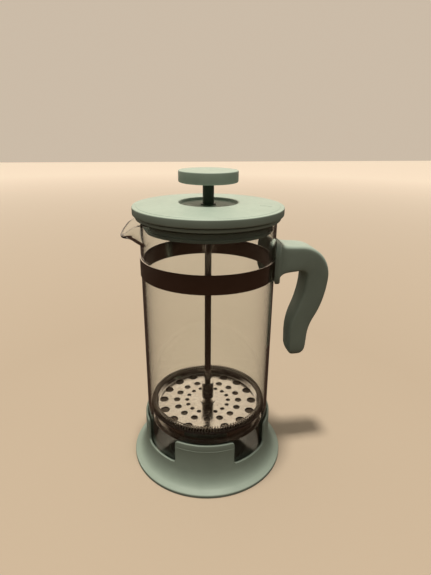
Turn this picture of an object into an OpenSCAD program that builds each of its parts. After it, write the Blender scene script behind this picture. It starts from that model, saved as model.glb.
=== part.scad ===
// One-litre coffee press: a glass beaker stands in a flared plastic holder, a
// steel band clamps a plastic handle to it, and a lid carries the plunger.
// Millimetres. Origin at the centre of the holder's underside, +Z up, handle
// towards +X, pouring spout near -X. The plunger is modelled fully pressed.

/* [Beaker] */
// Outer radius of the glass
glass_r = 49; // [42:0.5:60]
// Thickness of the glass wall
glass_wall = 2; // [1.5:0.1:3]
// Thickness of the glass floor
glass_floor = 3; // [2:0.5:5]
// Outer radius of the rounded corner at the bottom
glass_corner = 9; // [6:0.5:14]
// Height of the beaker, underside to rim
glass_h = 194.5; // [160:0.5:240]
// Radius of the thickened round bead at the rim
rim_bead = 1.4; // [1.1:0.1:2]

/* [Spout] */
// Distance that the tip stands out from the glass wall
spout_reach = 13.8; // [8:0.1:18]
// Distance from the rim down to the tip
spout_drop = 9; // [4:0.5:12]
// Distance from the rim down to where the spout starts
spout_depth = 22; // [18:0.5:30]
// Half width of the spout at the rim
spout_half_w = 17; // [12:0.5:20]
// Half width of the spout at its tip
spout_tip_r = 5.5; // [4:0.5:7]
// Angle between the spout and the line straight opposite the handle
spout_turn = 10; // [-20:1:20]

/* [Holder] */
// Outer radius of the flared foot
skirt_r = 61.5; // [56:0.5:75]
// Thickness of the foot at its outer edge
skirt_edge = 1.8; // [1.2:0.1:3]
// Height at which the foot's flare meets the upright wall
flare_top = 13; // [9:0.5:16]
// Thickness of the holder's upright wall
holder_wall = 1.8; // [1.4:0.1:3]
// Gap between the glass and the holder's wall
holder_gap = 0.6; // [0.3:0.1:1.5]
// Thickness of the holder's floor
floor_t = 2; // [1.5:0.5:3]
// Height of the ring on the floor that the glass stands on
rest_h = 2; // [1:0.5:3]
// Inner radius of that ring
rest_r = 30; // [15:1:34]
// Width of that ring
rest_w = 3; // [2:0.5:5]
// Height of the sills of the windows
sill_z = 19; // [17:0.5:26]
// Height of the tops of the four tabs
tab_top = 38.9; // [34:0.1:50]
// Number of tabs round the holder
tab_count = 4; // [3:1:6]
// Angle that one tab covers
tab_angle = 52; // [30:1:55]
// Angle from the handle to the middle of the first tab
tab_turn = -11.5; // [-45:0.5:45]
// Height of the thinned strip along the top of each tab
tab_step_h = 5; // [3:0.5:8]
// Depth of the thinned strip along the top of each tab
tab_step = 0.3; // [0.2:0.1:0.6]

/* [Band] */
// Height of the underside of the steel band above the table
band_z = 157.7; // [130:0.1:165]
// Height of the steel band
band_h = 13.5; // [8:0.5:18]
// Thickness of the steel band
band_t = 0.6; // [0.4:0.1:1]
// Gap between the two ears of the band
ear_gap = 2.4; // [1.6:0.2:3]
// Distance that the ears reach past the band
ear_reach = 12; // [10:0.5:15]

/* [Handle] */
// Radial thickness of the saddle between band and handle
saddle_t = 3.8; // [3:0.1:6]
// Width of the saddle
saddle_w = 46; // [36:1:54]
// Height of the saddle
saddle_h = 31; // [26:1:34]
// Corner radius of the saddle
saddle_corner = 6; // [3:0.5:10]
// Half width of the handle's arm
arm_half_w = 11; // [9:0.5:13]
// Half height of the handle's arm
arm_half_h = 9.8; // [8.5:0.1:12]
// Height of the arm's middle above the band's middle
arm_rise = 2.5; // [0:0.1:4]
// Distance that the arm widens where it meets the saddle
root_flare = 5; // [0:0.5:5]
// Distance from the glass to where the arm starts to bend down
arm_run = 21; // [19:0.5:28]
// Radius of the bend from arm to grip, along its middle
bend_r = 15; // [13:0.5:22]
// Radius of the grip's first curve, inwards
sweep_r = 76; // [60:1:110]
// Radius of the grip's second curve, back to upright
return_r = 46; // [36:1:70]
// Angle that the grip leans inwards between its two curves
lean = 26; // [15:1:30]
// Length of the straight end of the grip
tail_l = 8; // [4:0.5:14]
// Half depth of the grip, seen from the side
grip_half_d = 8; // [6.5:0.5:10]
// Half width of the grip at its lower end
tail_half_w = 8.5; // [7:0.5:11]
// Half width of the cover strip along the inside of the grip
cover_half_w = 6; // [4:0.5:7]
// Thickness of the cover strip
cover_t = 2.2; // [1.6:0.1:3]
// Half width of the hollow inside the grip
core_half_w = 4.4; // [3:0.2:5]
// Depth of the hollow behind the cover strip
core_d = 6; // [4:0.5:8]
// Radius of the clamping screw's shank
screw_r = 2; // [1.5:0.1:2.5]
// Radius of the clamping screw's head
screw_head_r = 4; // [3:0.1:5]
// Width across flats of the square nut
nut_w = 7; // [6:0.5:8]
// Thickness of the square nut
nut_t = 3; // [2:0.5:4]

/* [Lid] */
// Distance that the lid overhangs the glass
lid_overhang = 4.6; // [3:0.1:8]
// Height of the lid's upright edge
lid_edge_h = 5.7; // [4:0.1:8]
// Rise of the lid's top from its edge to the middle recess
lid_rise = 2; // [1:0.1:4]
// Height of the hollow between the flange on the glass and the lid
lid_hollow_h = 3.8; // [2:0.1:6]
// Thickness of the lid at the floor of its recess
lid_t = 2.5; // [2:0.1:4]
// Thickness of the lid's upright edge
lid_edge_t = 2; // [1.5:0.1:3]
// Radius of the round recess in the middle of the lid
recess_r = 21.1; // [18:0.1:26]
// Distance from the lid's edge in to the fine step on its top
step_inset = 3; // [2:0.5:6]
// Depth of the fine step on the lid's top
step_d = 0.25; // [0.15:0.05:0.5]
// Angle from the handle to the pouring mark on the lid
mark_turn = -20; // [-180:1:180]
// Distance from the middle of the lid to the inner end of the mark
mark_start = 36.4; // [30:0.1:38]
// Length of the pouring mark
mark_l = 8; // [4:0.5:9]
// Clearance between the glass and the collar's beads
collar_gap = 0.7; // [0.4:0.1:1.5]
// Radial height of the two beads round the collar
collar_bead = 0.8; // [0.4:0.1:1.2]
// Thickness of the collar's wall
collar_t = 2; // [1.5:0.1:3]
// Distance that the collar reaches down inside the glass
collar_depth = 8; // [6:0.5:14]
// Thickness of the flange that rests on the glass rim
flange_t = 2.3; // [1.5:0.1:3]
// Number of slots in the collar's strainer
slot_count = 7; // [3:1:9]
// Width of one strainer slot
slot_w = 2; // [1:0.1:2.4]
// Angle between strainer slots
slot_pitch = 5; // [4.2:0.1:8]

/* [Rod] */
// Radius of the plunger rod
rod_r = 2.5; // [2:0.1:3.5]
// Radius of the sleeve of the guide bush
bush_r = 4.2; // [4:0.1:5]
// Radius of the flange of the guide bush
bush_flange_r = 5.3; // [5.2:0.1:7]
// Thickness of the flange of the guide bush
bush_flange_t = 0.75; // [0.5:0.05:1.5]
// Distance that the bush reaches down from the recess
bush_l = 8.3; // [6:0.1:12]
// Radius of the retaining ring under the lid
clip_r = 7; // [6:0.1:9]
// Thickness of the retaining ring
clip_t = 1; // [0.6:0.1:1.4]

/* [Knob] */
// Radius of the knob
knob_r = 20.9; // [15:0.1:26]
// Thickness of the knob
knob_h = 8; // [6:0.5:12]
// Radius of the stem below the knob
stem_r = 4; // [3.6:0.1:5]
// Length of the stem
stem_l = 14.9; // [10:0.1:24]
// Radius of the threaded insert in the knob
insert_r = 5.5; // [5:0.1:7]
// Length of the threaded insert
insert_l = 5; // [4:0.5:5.5]
// Depth of the rod's end inside the insert
rod_grip = 4; // [3:0.5:4]

/* [Filter] */
// Height of the top of the spring plate above the table
plate_z = 44.4; // [40:0.1:60]
// Clearance between the filter's edge and the glass
filter_gap = 0.3; // [0.2:0.05:0.6]
// Thickness of the pressed steel plates
plate_t = 0.8; // [0.6:0.1:1]
// Radius of the coil of the edge spring
coil_r = 2.3; // [1.8:0.1:2.8]
// Height of the coil's centre above the top of the spring plate
coil_lift = 5; // [4:0.1:6]
// Thickness of the woven screen
mesh_t = 0.35; // [0.2:0.05:0.5]
// Number of holes in each ring of the spring plate
hole_count = 16; // [10:2:18]
// Angle from the handle to a hole of each ring
hole_turn = 12.5; // [0:0.5:22.5]
// Distances of the three rings of holes from the middle
hole_rings = [17.1, 25.6, 36.6];
// Radii of the holes in the three rings
hole_radii = [1.7, 2.65, 3.6];
// Height of the cross plate's turned-down rim
cross_rim_h = 7; // [4:0.5:9]
// Radius of the eight outer openings of the cross plate
cross_hole_r = 7; // [5:0.5:8]
// Distance of the outer openings from the middle
cross_hole_ring = 29; // [27:0.5:31]
// Radius of the hub sleeve
hub_r = 4.85; // [4:0.05:6]
// Length of the hub sleeve
hub_l = 16.8; // [10:0.1:25]
// Radius of the washer under the hub sleeve
washer_r = 6.4; // [5.5:0.1:9]
// Thickness of the washer
washer_t = 0.8; // [0.5:0.1:1.5]
// Distance across the corners of the lock nut, halved
lock_r = 5.2; // [4.5:0.1:6]
// Height of the lock nut
lock_h = 4; // [3:0.5:6]
// Length of rod that stands out below the lock nut
rod_tail = 1.2; // [0.5:0.1:3]

/* [Fits] */
// Radial clearance where a shaft turns or slides in a hole
run_fit = 0.05; // [0.02:0.01:0.1]
// Gap between faces of parts that move past each other
face_gap = 0.2; // [0.1:0.05:0.4]
// Gap round pieces that are assembled and stay put
set_gap = 0.1; // [0.05:0.05:0.2]

/* [Hidden] */
$fn = 96;
over = 1;
sage = [0.62, 0.69, 0.6];
shade_green = [0.2, 0.25, 0.19];
steel = [0.75, 0.75, 0.76];

// Beaker
glass_z = floor_t + rest_h;
glass_in_r = glass_r - glass_wall;
rim_z = glass_z + glass_h;
tilt = atan(spout_drop / (spout_reach + glass_wall));

// Holder
holder_in_r = glass_r + holder_gap;
holder_r = holder_in_r + holder_wall;

// Band and handle
saddle_rise = 1;
screw_shift = 1.5;
screw_sink = 1.5;
screw_spare = 3;
driver_w = 0.9;
driver_d = 1.6;
band_in_r = glass_r + run_fit;
band_r = band_in_r + band_t;
saddle_in_r = glass_r + set_gap;
saddle_r = band_r + saddle_t;
arm_z = band_z + band_h / 2 + arm_rise;
saddle_z = band_z + band_h / 2 - saddle_h / 2 + saddle_rise;
screw_x = band_r + ear_reach / 2 + screw_shift;
screw_z = band_z + band_h / 2;
screw_head_t = screw_head_r - screw_r;
nut_y = -ear_gap / 2 - band_t - set_gap;

// Lid
seat_z = rim_z + face_gap;
lid_r = glass_r + lid_overhang;
collar_r = glass_in_r - collar_gap - collar_bead;
lid_under_z = seat_z + flange_t + lid_hollow_h;
recess_z = lid_under_z + lid_t;
lid_low_z = recess_z - lid_edge_h;
lid_high_z = recess_z + lid_rise;
collar_z = seat_z - collar_depth;

// Rod and knob
rod_hole_r = rod_r + run_fit;
bush_z = recess_z - bush_l;
bush_face_z = recess_z + run_fit + bush_flange_t;
stem_z = bush_face_z + run_fit;
knob_z = stem_z + stem_l;
insert_z = knob_z;
rod_top = insert_z + rod_grip;

// Filter, from the spring plate down
mesh_top = plate_z - plate_t;
cross_top = mesh_top - mesh_t;
lock_top = cross_top - plate_t;
rod_low = lock_top - lock_h - rod_tail;
filter_r = glass_in_r - filter_gap;
coil_ring_r = filter_r - mesh_t - run_fit - coil_r;
coil_z = plate_z + coil_lift;
rim_lap = 1.1;
rim_in_r = coil_ring_r - rim_lap;
turn_r = rim_in_r - plate_t;
rim_bend = 2;

function arc(cx, cz, r, a0, a1, n = 6) =
    [for (i = [0:n]) let (a = a0 + (a1 - a0) * i / n) [cx + r * cos(a), cz + r * sin(a)]];

// The handle's middle line: [x, z, heading], with heading 0 outwards, 90 down
arm_steps = 5;
curve_steps = 5;
bend_x = glass_r + arm_run;
grip_x = bend_x + bend_r;
grip_z = arm_z - bend_r;
mid_x = grip_x - sweep_r * (1 - cos(lean));
mid_z = grip_z - sweep_r * sin(lean);
tail_x = mid_x - return_r * (1 - cos(lean));
tail_z = mid_z - return_r * sin(lean);
arm_line = [for (i = [0:arm_steps - 1]) [glass_r + arm_run * i / arm_steps, arm_z, 0]];
bend_line = [for (a = [0:10:90]) [bend_x + bend_r * sin(a), arm_z - bend_r * (1 - cos(a)), a]];
sweep_line = [for (i = [1:curve_steps]) let (a = lean * i / curve_steps)
    [grip_x - sweep_r * (1 - cos(a)), grip_z - sweep_r * sin(a), 90 + a]];
return_line = [for (i = [1:curve_steps]) let (a = lean * (1 - i / curve_steps))
    [tail_x + return_r * (1 - cos(a)), tail_z + return_r * sin(a), 90 + a]];
tail_line = [for (i = [1:2]) [tail_x, tail_z - tail_l * i / 2, 90]];
grip_line = concat(bend_line, sweep_line, return_line, tail_line);
handle_line = concat(arm_line, grip_line);
end_z = tail_z - tail_l;
line_last = len(handle_line) - 1;
cover_skip = 4;
cover_first = arm_steps + cover_skip;

// Section sizes run from the arm to the tail as the line is followed
thin_share = 0.35;
arm_square = 5;
tail_square = 2.4;
function share(i) = i / line_last;
function thinned(s) = min(1, s / thin_share);
function flare_at(i) = root_flare * pow(max(0, 1 - i * 2 / arm_steps), 2);
function half_d(s) = arm_half_h + (grip_half_d - arm_half_h) * thinned(s);
function half_w(s) = arm_half_w + (tail_half_w - arm_half_w) * s;
function squareness(s) = arm_square + (tail_square - arm_square) * max(0, 2 * s - 1);
function power(v, n) = sign(v) * pow(abs(v), 2 / n);

// One ring of points round the line at p, d deep and w wide to each side
function ring_at(p, d, w, n, count, shift = 0) =
    [for (k = [0:count - 1]) let (t = 360 * (k + 0.5) / count, u = shift + d * power(cos(t), n))
        [p[0] + u * sin(p[2]), w * power(sin(t), n), p[1] + u * cos(p[2])]];

// One four-cornered ring, w to each side of the line and from u0 to u1 off it
function box_ring(p, w, u0, u1) =
    [for (q = [[u0, -w], [u0, w], [u1, w], [u1, -w]])
        [p[0] + q[0] * sin(p[2]), q[1], p[1] + q[0] * cos(p[2])]];

// Depth of the grip's inner face at y to the side of its middle
function inner_face(y, s) =
    -half_d(s) * pow(1 - pow(abs(y) / half_w(s), squareness(s)), 1 / squareness(s));

// Section of the cover strip: flat behind, following the inner face in front
cover_sides = 6;
function cover_ring(p, s) =
    let (back = cover_t - half_d(s), w = cover_half_w,
        front = [for (k = [0:cover_sides]) let (y = w * (1 - 2 * k / cover_sides)) [inner_face(y, s), y]])
    [for (q = concat([[back, -w], [back, w]], front))
        [p[0] + q[0] * sin(p[2]), q[1], p[1] + q[0] * cos(p[2])]];

// A closed skin over rings that all have the same number of points
module skin(rings) {
    count = len(rings[0]);
    last = len(rings) - 1;
    sides = [for (j = [0:last - 1], k = [0:count - 1]) let (m = (k + 1) % count)
        [j * count + k, j * count + m, (j + 1) * count + m, (j + 1) * count + k]];
    polyhedron(
        points = [for (ring = rings) each ring],
        faces = concat(sides, [[for (k = [count - 1:-1:0]) k]], [[for (k = [0:count - 1]) last * count + k]]),
        convexity = 6
    );
}

module handle_body() {
    sides = 24;
    body_rings = [for (i = [0:line_last]) let (s = share(i))
        ring_at(handle_line[i], half_d(s) + flare_at(i), half_w(s) + flare_at(i), squareness(s), sides)];
    cap_rings = [for (a = [22.5:22.5:67.5])
        ring_at([tail_x, end_z - grip_half_d * sin(a), 90],
            grip_half_d * cos(a), tail_half_w * cos(a), tail_square, sides)];
    skin(concat(body_rings, cap_rings));
}

// A strip along the inside of the grip, w to each side, from d above the inner face outwards
module inner_strip(w, d) {
    out = 3;
    skin([for (i = [cover_first:line_last]) let (face = -half_d(share(i)))
        box_ring(handle_line[i], w, face + d, face - out)]);
}

// A solid of revolution with its bottom corner rounded
module rounded_column(r, corner, z0, z1) {
    rotate_extrude() {
        translate([0, z0]) square([r - corner, corner]);
        translate([0, z0 + corner]) square([r, z1 - z0 - corner]);
        intersection() {
            translate([r - corner, z0 + corner]) circle(corner);
            translate([0, z0]) square([r, corner]);
        }
    }
}

// Solid of the spout, made smaller by inset: four discs with a skin over them
module spout_shape(inset, extra_h) {
    $fn = 32;
    foot_r = spout_half_w * 3 / 4;
    swell = 2.5;
    disc_h = 1;
    lip_h = 1.5;
    hull() {
        translate([foot_r - glass_r, 0, rim_z - spout_depth + inset])
            cylinder(r = foot_r - inset, h = disc_h);
        translate([foot_r - glass_r - swell, 0, rim_z - spout_depth * 2 / 3 + inset])
            cylinder(r = foot_r - inset, h = disc_h);
        translate([spout_tip_r - glass_r - spout_reach, 0, rim_z - spout_drop - lip_h + inset])
            cylinder(r = spout_tip_r - inset, h = spout_drop + lip_h - inset + extra_h);
        translate([spout_half_w / 2 - glass_r - swell / 2, 0, rim_z - disc_h])
            cylinder(r = spout_half_w - inset, h = disc_h + extra_h);
    }
}

module sector(r0, r1, z0, z1, angle) {
    translate([0, 0, z0]) rotate([0, 0, -angle / 2])
        rotate_extrude(angle = angle) translate([r0, 0]) square([r1 - r0, z1 - z0]);
}

module rounded_plate(x0, x1, w, z0, h, corner) {
    translate([x0, 0, z0]) rotate([90, 0, 90]) linear_extrude(x1 - x0) {
        translate([-w / 2 + corner, 0]) square([w - 2 * corner, h]);
        translate([-w / 2, corner]) square([w, h - 2 * corner]);
        for (sy = [-1, 1], z = [corner, h - corner])
            translate([sy * (w / 2 - corner), z]) circle(corner);
    }
}

module ring(r0, r1, z0, z1) {
    translate([0, 0, z0]) difference() {
        cylinder(r = r1, h = z1 - z0);
        translate([0, 0, -over]) cylinder(r = r0, h = z1 - z0 + 2 * over);
    }
}

// Flared foot, floor and four upright tabs in one moulding
module base_holder() {
    cavity_share = 0.6;
    flare_h = flare_top - skirt_edge;
    under_r = skirt_r - skirt_edge;
    flare = [for (t = [0:10:80])
        [skirt_r - (skirt_r - holder_r) * cos(t), flare_top - flare_h * sin(t)]];
    under = [for (t = [80:-10:0])
        [under_r - (under_r - holder_r) * cos(t), cavity_share * flare_h * (1 - sin(t))]];
    color(sage) difference() {
        rotate_extrude() polygon(concat(
            [[holder_in_r, tab_top], [holder_r - tab_step, tab_top],
                [holder_r - tab_step, tab_top - tab_step_h], [holder_r, tab_top - tab_step_h - tab_step]],
            flare, [[skirt_r, skirt_edge], [skirt_r, 0], [under_r, 0]],
            under, [[holder_r, 0], [0, 0], [0, floor_t], [rest_r, floor_t], [rest_r, floor_t + rest_h],
                [rest_r + rest_w, floor_t + rest_h], [rest_r + rest_w, floor_t], [holder_in_r, floor_t]]
        ));
        for (i = [0:tab_count - 1])
            rotate([0, 0, tab_turn + (i + 0.5) * 360 / tab_count])
                sector(glass_r, skirt_r, sill_z, tab_top + over, 360 / tab_count - tab_angle);
    }
}

// Beaker with rounded bottom, beaded rim and pressed spout
module glass_beaker() {
    color([0.8, 0.9, 0.86, 0.35]) rotate([0, 0, spout_turn]) difference() {
        union() {
            rounded_column(glass_r, glass_corner, glass_z, rim_z - rim_bead);
            rotate_extrude() translate([glass_in_r + rim_bead, rim_z - rim_bead]) circle(rim_bead);
            difference() {
                spout_shape(0, 0);
                translate([-glass_in_r, 0, rim_z]) rotate([0, -tilt, 0])
                    translate([-glass_r, -glass_r, 0]) cube([glass_r, 2 * glass_r, glass_r]);
            }
        }
        rounded_column(glass_in_r, glass_corner - glass_wall, glass_z + glass_floor, rim_z + over);
        spout_shape(glass_wall, over);
    }
}

// Open steel hoop whose two ears are drawn together inside the handle
module steel_band() {
    color(steel) difference() {
        union() {
            ring(band_in_r, band_r, band_z, band_z + band_h);
            for (s = [-1, 1])
                translate([band_in_r, s * (ear_gap + band_t) / 2 - band_t / 2, band_z])
                    cube([band_t + ear_reach, band_t, band_h]);
        }
        translate([band_in_r - over, -ear_gap / 2, band_z - over])
            cube([band_t + ear_reach + 2 * over, ear_gap, band_h + 2 * over]);
        translate([screw_x, 0, screw_z]) rotate([90, 0, 0])
            cylinder(r = screw_r + set_gap, h = 4 * ear_gap, center = true);
    }
}

module ear_slot() {
    translate([0, -ear_gap / 2 - band_t - set_gap, band_z - set_gap])
        cube([band_r + ear_reach + set_gap, ear_gap + 2 * (band_t + set_gap), band_h + 2 * set_gap]);
}

// Curved pad between the glass, the band and the handle's arm
module handle_saddle() {
    color(sage) difference() {
        intersection() {
            ring(saddle_in_r, saddle_r, saddle_z, saddle_z + saddle_h);
            rounded_plate(0, saddle_r + over, saddle_w, saddle_z, saddle_h, saddle_corner);
        }
        ring(0, band_r + set_gap, band_z - set_gap, band_z + band_h + set_gap);
        ear_slot();
    }
}

module clamp_bores() {
    translate([screw_x, 0, screw_z]) rotate([90, 0, 0]) {
        translate([0, 0, nut_y - nut_t - screw_spare])
            cylinder(r = screw_r + set_gap, h = arm_half_w + nut_t + screw_spare);
        translate([0, 0, -arm_half_w - over])
            cylinder(r = screw_head_r + set_gap, h = over + screw_sink);
        translate([0, 0, screw_sink - arm_half_w])
            cylinder(r1 = screw_head_r + set_gap, r2 = screw_r + set_gap, h = screw_head_t);
        translate([0, 0, -nut_y]) cylinder(r = screw_r + set_gap, h = nut_t + screw_spare);
    }
    translate([screw_x - nut_w / 2 - set_gap, nut_y - nut_t - set_gap, screw_z - nut_w / 2 - set_gap])
        cube([nut_w + 2 * set_gap, nut_t + 2 * set_gap, nut_w + 2 * set_gap]);
}

// Arm and curved grip, hollow along the inside
module handle_grip() {
    color(sage) difference() {
        handle_body();
        translate([0, 0, saddle_z - over]) cylinder(r = saddle_r, h = saddle_h + 2 * over);
        ear_slot();
        clamp_bores();
        inner_strip(cover_half_w + set_gap, cover_t + set_gap);
        inner_strip(core_half_w, core_d);
    }
}

// Strip that closes the hollow along the inside of the grip, flush with its surface
module handle_cover() {
    color(sage) skin([for (i = [cover_first:line_last]) cover_ring(handle_line[i], share(i))]);
}

// Countersunk screw across the arm, through both ears of the band
module handle_screw() {
    color(steel) translate([screw_x, 0, screw_z]) rotate([90, 0, 0]) {
        translate([0, 0, screw_sink - arm_half_w]) difference() {
            cylinder(r1 = screw_head_r, r2 = screw_r, h = screw_head_t);
            for (a = [0, 90])
                rotate([0, 0, a]) cube([2 * screw_r + driver_w / 2, driver_w, driver_d], center = true);
        }
        translate([0, 0, screw_sink - arm_half_w + screw_head_t])
            cylinder(r = screw_r, h = arm_half_w - screw_sink - screw_head_t - nut_y + nut_t + over);
    }
}

// Square nut that the screw pulls against the band's ears
module clamp_nut() {
    color(steel) difference() {
        translate([screw_x - nut_w / 2, nut_y - nut_t, screw_z - nut_w / 2]) cube([nut_w, nut_t, nut_w]);
        translate([screw_x, nut_y, screw_z]) rotate([90, 0, 0])
            cylinder(r = screw_r, h = 4 * nut_t, center = true);
    }
}

// Shallow domed disc with an upright edge, a middle recess and a pouring mark
module lid_cover() {
    round_top = 1;
    round_low = 1.8;
    wall_slope = 0.6;
    brow = 0.4;
    mark_w = 0.6;
    step_r = lid_r - step_inset;
    color(sage) difference() {
        rotate_extrude() polygon(concat(
            [[bush_r + run_fit, lid_under_z], [bush_r + run_fit, recess_z], [recess_r - wall_slope, recess_z],
                [recess_r, lid_high_z - brow], [recess_r + brow, lid_high_z],
                [step_r, recess_z + step_d], [step_r + step_d, recess_z]],
            arc(lid_r - round_top, recess_z - round_top, round_top, 90, 0),
            arc(lid_r - round_low, lid_low_z + round_low, round_low, 0, -80),
            [[lid_r - lid_edge_t, lid_low_z], [lid_r - lid_edge_t, lid_under_z]]
        ));
        rotate([0, 0, mark_turn]) translate([mark_start, -mark_w / 2, recess_z])
            cube([mark_l, mark_w, lid_rise]);
    }
}

// Ring under the lid: a flange on the glass rim, a beaded skirt and a strainer
module lid_collar() {
    bead_inset = 2;
    slot_inset = 1.2;
    color(sage) difference() {
        rotate_extrude() {
            translate([collar_r - collar_t, collar_z]) square([collar_t, lid_under_z - collar_z]);
            translate([collar_r - over, seat_z])
                square([lid_r - lid_edge_t - set_gap - collar_r + over, flange_t]);
            for (z = [collar_z + bead_inset, seat_z - bead_inset])
                translate([collar_r, z]) circle(collar_bead);
        }
        for (i = [0:slot_count - 1])
            rotate([0, 0, mark_turn + (i - (slot_count - 1) / 2) * slot_pitch])
                translate([collar_r - collar_t - over, -slot_w / 2, collar_z + slot_inset])
                    cube([collar_t + collar_bead + 2 * over, slot_w, collar_depth - 2 * slot_inset]);
    }
}

// Flanged bush that guides the rod through the lid
module rod_bush() {
    color(shade_green) difference() {
        union() {
            translate([0, 0, bush_z]) cylinder(r = bush_r, h = recess_z + run_fit - bush_z);
            translate([0, 0, recess_z + run_fit]) cylinder(r = bush_flange_r, h = bush_flange_t);
        }
        translate([0, 0, bush_z - over]) cylinder(r = rod_hole_r, h = bush_l + 4 * over);
    }
}

// Push-on ring that keeps the bush in the lid
module bush_clip() {
    color(steel) ring(bush_r, clip_r, lid_under_z - face_gap - clip_t, lid_under_z - face_gap);
}

module knob_disc() {
    edge_low = 0.9;
    edge_high = 0.5;
    color(sage) difference() {
        rotate_extrude() polygon(concat(
            [[0, knob_z + knob_h]],
            arc(knob_r - edge_high, knob_z + knob_h - edge_high, edge_high, 90, 0),
            arc(knob_r - edge_low, knob_z + edge_low, edge_low, 0, -90),
            [[0, knob_z]]
        ));
        translate([0, 0, insert_z - over]) cylinder(r = insert_r, h = insert_l + over);
    }
}

// Sleeve that spaces the knob from the lid
module knob_stem() {
    color(shade_green) ring(rod_r, stem_r, stem_z, knob_z);
}

// Threaded metal insert moulded into the knob
module knob_insert() {
    color("goldenrod") difference() {
        translate([0, 0, insert_z]) cylinder(r = insert_r, h = insert_l);
        translate([0, 0, insert_z - over]) cylinder(r = rod_r, h = rod_grip + over);
    }
}

module plunger_rod() {
    color(steel) translate([0, 0, rod_low]) cylinder(r = rod_r, h = rod_top - rod_low);
}

// Tall nut on top of the spring plate
module hub_sleeve() {
    color(steel) ring(rod_hole_r, hub_r, plate_z + washer_t, plate_z + washer_t + hub_l);
}

module hub_washer() {
    color(steel) ring(rod_hole_r, washer_r, plate_z, plate_z + washer_t);
}

// Outline of the spring plate, grown by g: flat, then turned up into the coil
module plate_outline(g) {
    polygon([
        [rod_hole_r - g, mesh_top - g], [rim_in_r - rim_bend, mesh_top - g],
        [rim_in_r + plate_t + g, coil_z - coil_r - g], [rim_in_r + plate_t + g, coil_z + g],
        [rim_in_r - g, coil_z + g], [rim_in_r - g, coil_z - coil_r + g],
        [rim_in_r - rim_bend - plate_t / 2, plate_z + g], [rod_hole_r - g, plate_z + g]
    ]);
}

// Pressed plate with three rings of holes and a turned-up rim
module spring_plate() {
    color(steel) difference() {
        rotate_extrude() plate_outline(0);
        for (j = [0:len(hole_rings) - 1], i = [0:hole_count - 1])
            rotate([0, 0, hole_turn + i * 360 / hole_count])
                translate([hole_rings[j], 0, mesh_top - over])
                    cylinder(r = hole_radii[j], h = plate_t + 2 * over);
    }
}

// Envelope of the fine coil that runs round the plate's rim
module coil_spring() {
    color(steel) rotate_extrude() difference() {
        translate([coil_ring_r, coil_z]) circle(coil_r);
        plate_outline(run_fit);
    }
}

// Woven screen under the plate, its edge turned up round the coil
module mesh_screen() {
    color([0.6, 0.58, 0.55]) rotate_extrude() polygon([
        [rod_hole_r, cross_top], [turn_r, cross_top], [filter_r, coil_z - coil_r - mesh_t],
        [filter_r, coil_z + coil_r / 2], [filter_r - mesh_t, coil_z + coil_r / 2],
        [filter_r - mesh_t, coil_z - coil_r], [turn_r - mesh_t, mesh_top], [rod_hole_r, mesh_top]
    ]);
}

// Stiff lower plate with large openings and a turned-down rim
module cross_plate() {
    lip = 3.3;
    cross_count = 8;
    small_r = 3;
    small_ring = cross_hole_ring - 2 * cross_hole_r + over;
    low_z = cross_top - cross_rim_h;
    color(steel) difference() {
        union() {
            ring(rod_hole_r, turn_r, lock_top, cross_top);
            ring(turn_r - plate_t, turn_r, low_z, cross_top);
            ring(turn_r - plate_t, turn_r + lip, low_z, low_z + plate_t);
        }
        for (i = [0:cross_count - 1]) rotate([0, 0, i * 360 / cross_count]) {
            translate([cross_hole_ring, 0, lock_top - over])
                cylinder(r = cross_hole_r, h = plate_t + 2 * over);
            rotate([0, 0, 180 / cross_count]) translate([small_ring, 0, lock_top - over])
                cylinder(r = small_r, h = plate_t + 2 * over);
        }
    }
}

module lock_nut() {
    color(steel) translate([0, 0, lock_top - lock_h]) difference() {
        cylinder(r = lock_r, h = lock_h, $fn = 6);
        translate([0, 0, -over]) cylinder(r = rod_hole_r, h = lock_h + 2 * over);
    }
}

base_holder();
glass_beaker();
steel_band();
handle_saddle();
handle_grip();
handle_cover();
handle_screw();
clamp_nut();
lid_cover();
lid_collar();
rod_bush();
bush_clip();
knob_disc();
knob_stem();
knob_insert();
plunger_rod();
hub_sleeve();
hub_washer();
spring_plate();
coil_spring();
mesh_screen();
cross_plate();
lock_nut();
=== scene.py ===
import math

import bmesh
import bpy
from mathutils import Matrix, Vector


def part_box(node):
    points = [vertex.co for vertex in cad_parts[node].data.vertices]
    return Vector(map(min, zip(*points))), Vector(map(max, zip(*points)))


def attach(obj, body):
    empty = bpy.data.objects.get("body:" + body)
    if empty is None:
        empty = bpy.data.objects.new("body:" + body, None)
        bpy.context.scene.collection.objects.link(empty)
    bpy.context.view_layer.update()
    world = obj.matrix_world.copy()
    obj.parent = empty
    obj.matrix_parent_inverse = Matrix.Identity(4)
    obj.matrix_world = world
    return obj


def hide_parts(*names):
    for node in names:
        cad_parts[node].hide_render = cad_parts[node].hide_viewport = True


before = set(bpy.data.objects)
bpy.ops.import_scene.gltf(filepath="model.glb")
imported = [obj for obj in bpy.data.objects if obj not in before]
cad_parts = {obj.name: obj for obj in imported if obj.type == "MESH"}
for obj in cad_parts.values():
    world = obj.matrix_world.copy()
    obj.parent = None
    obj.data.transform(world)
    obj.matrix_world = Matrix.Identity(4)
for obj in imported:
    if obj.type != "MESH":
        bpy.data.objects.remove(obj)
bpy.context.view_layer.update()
mm = 0.001

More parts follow.
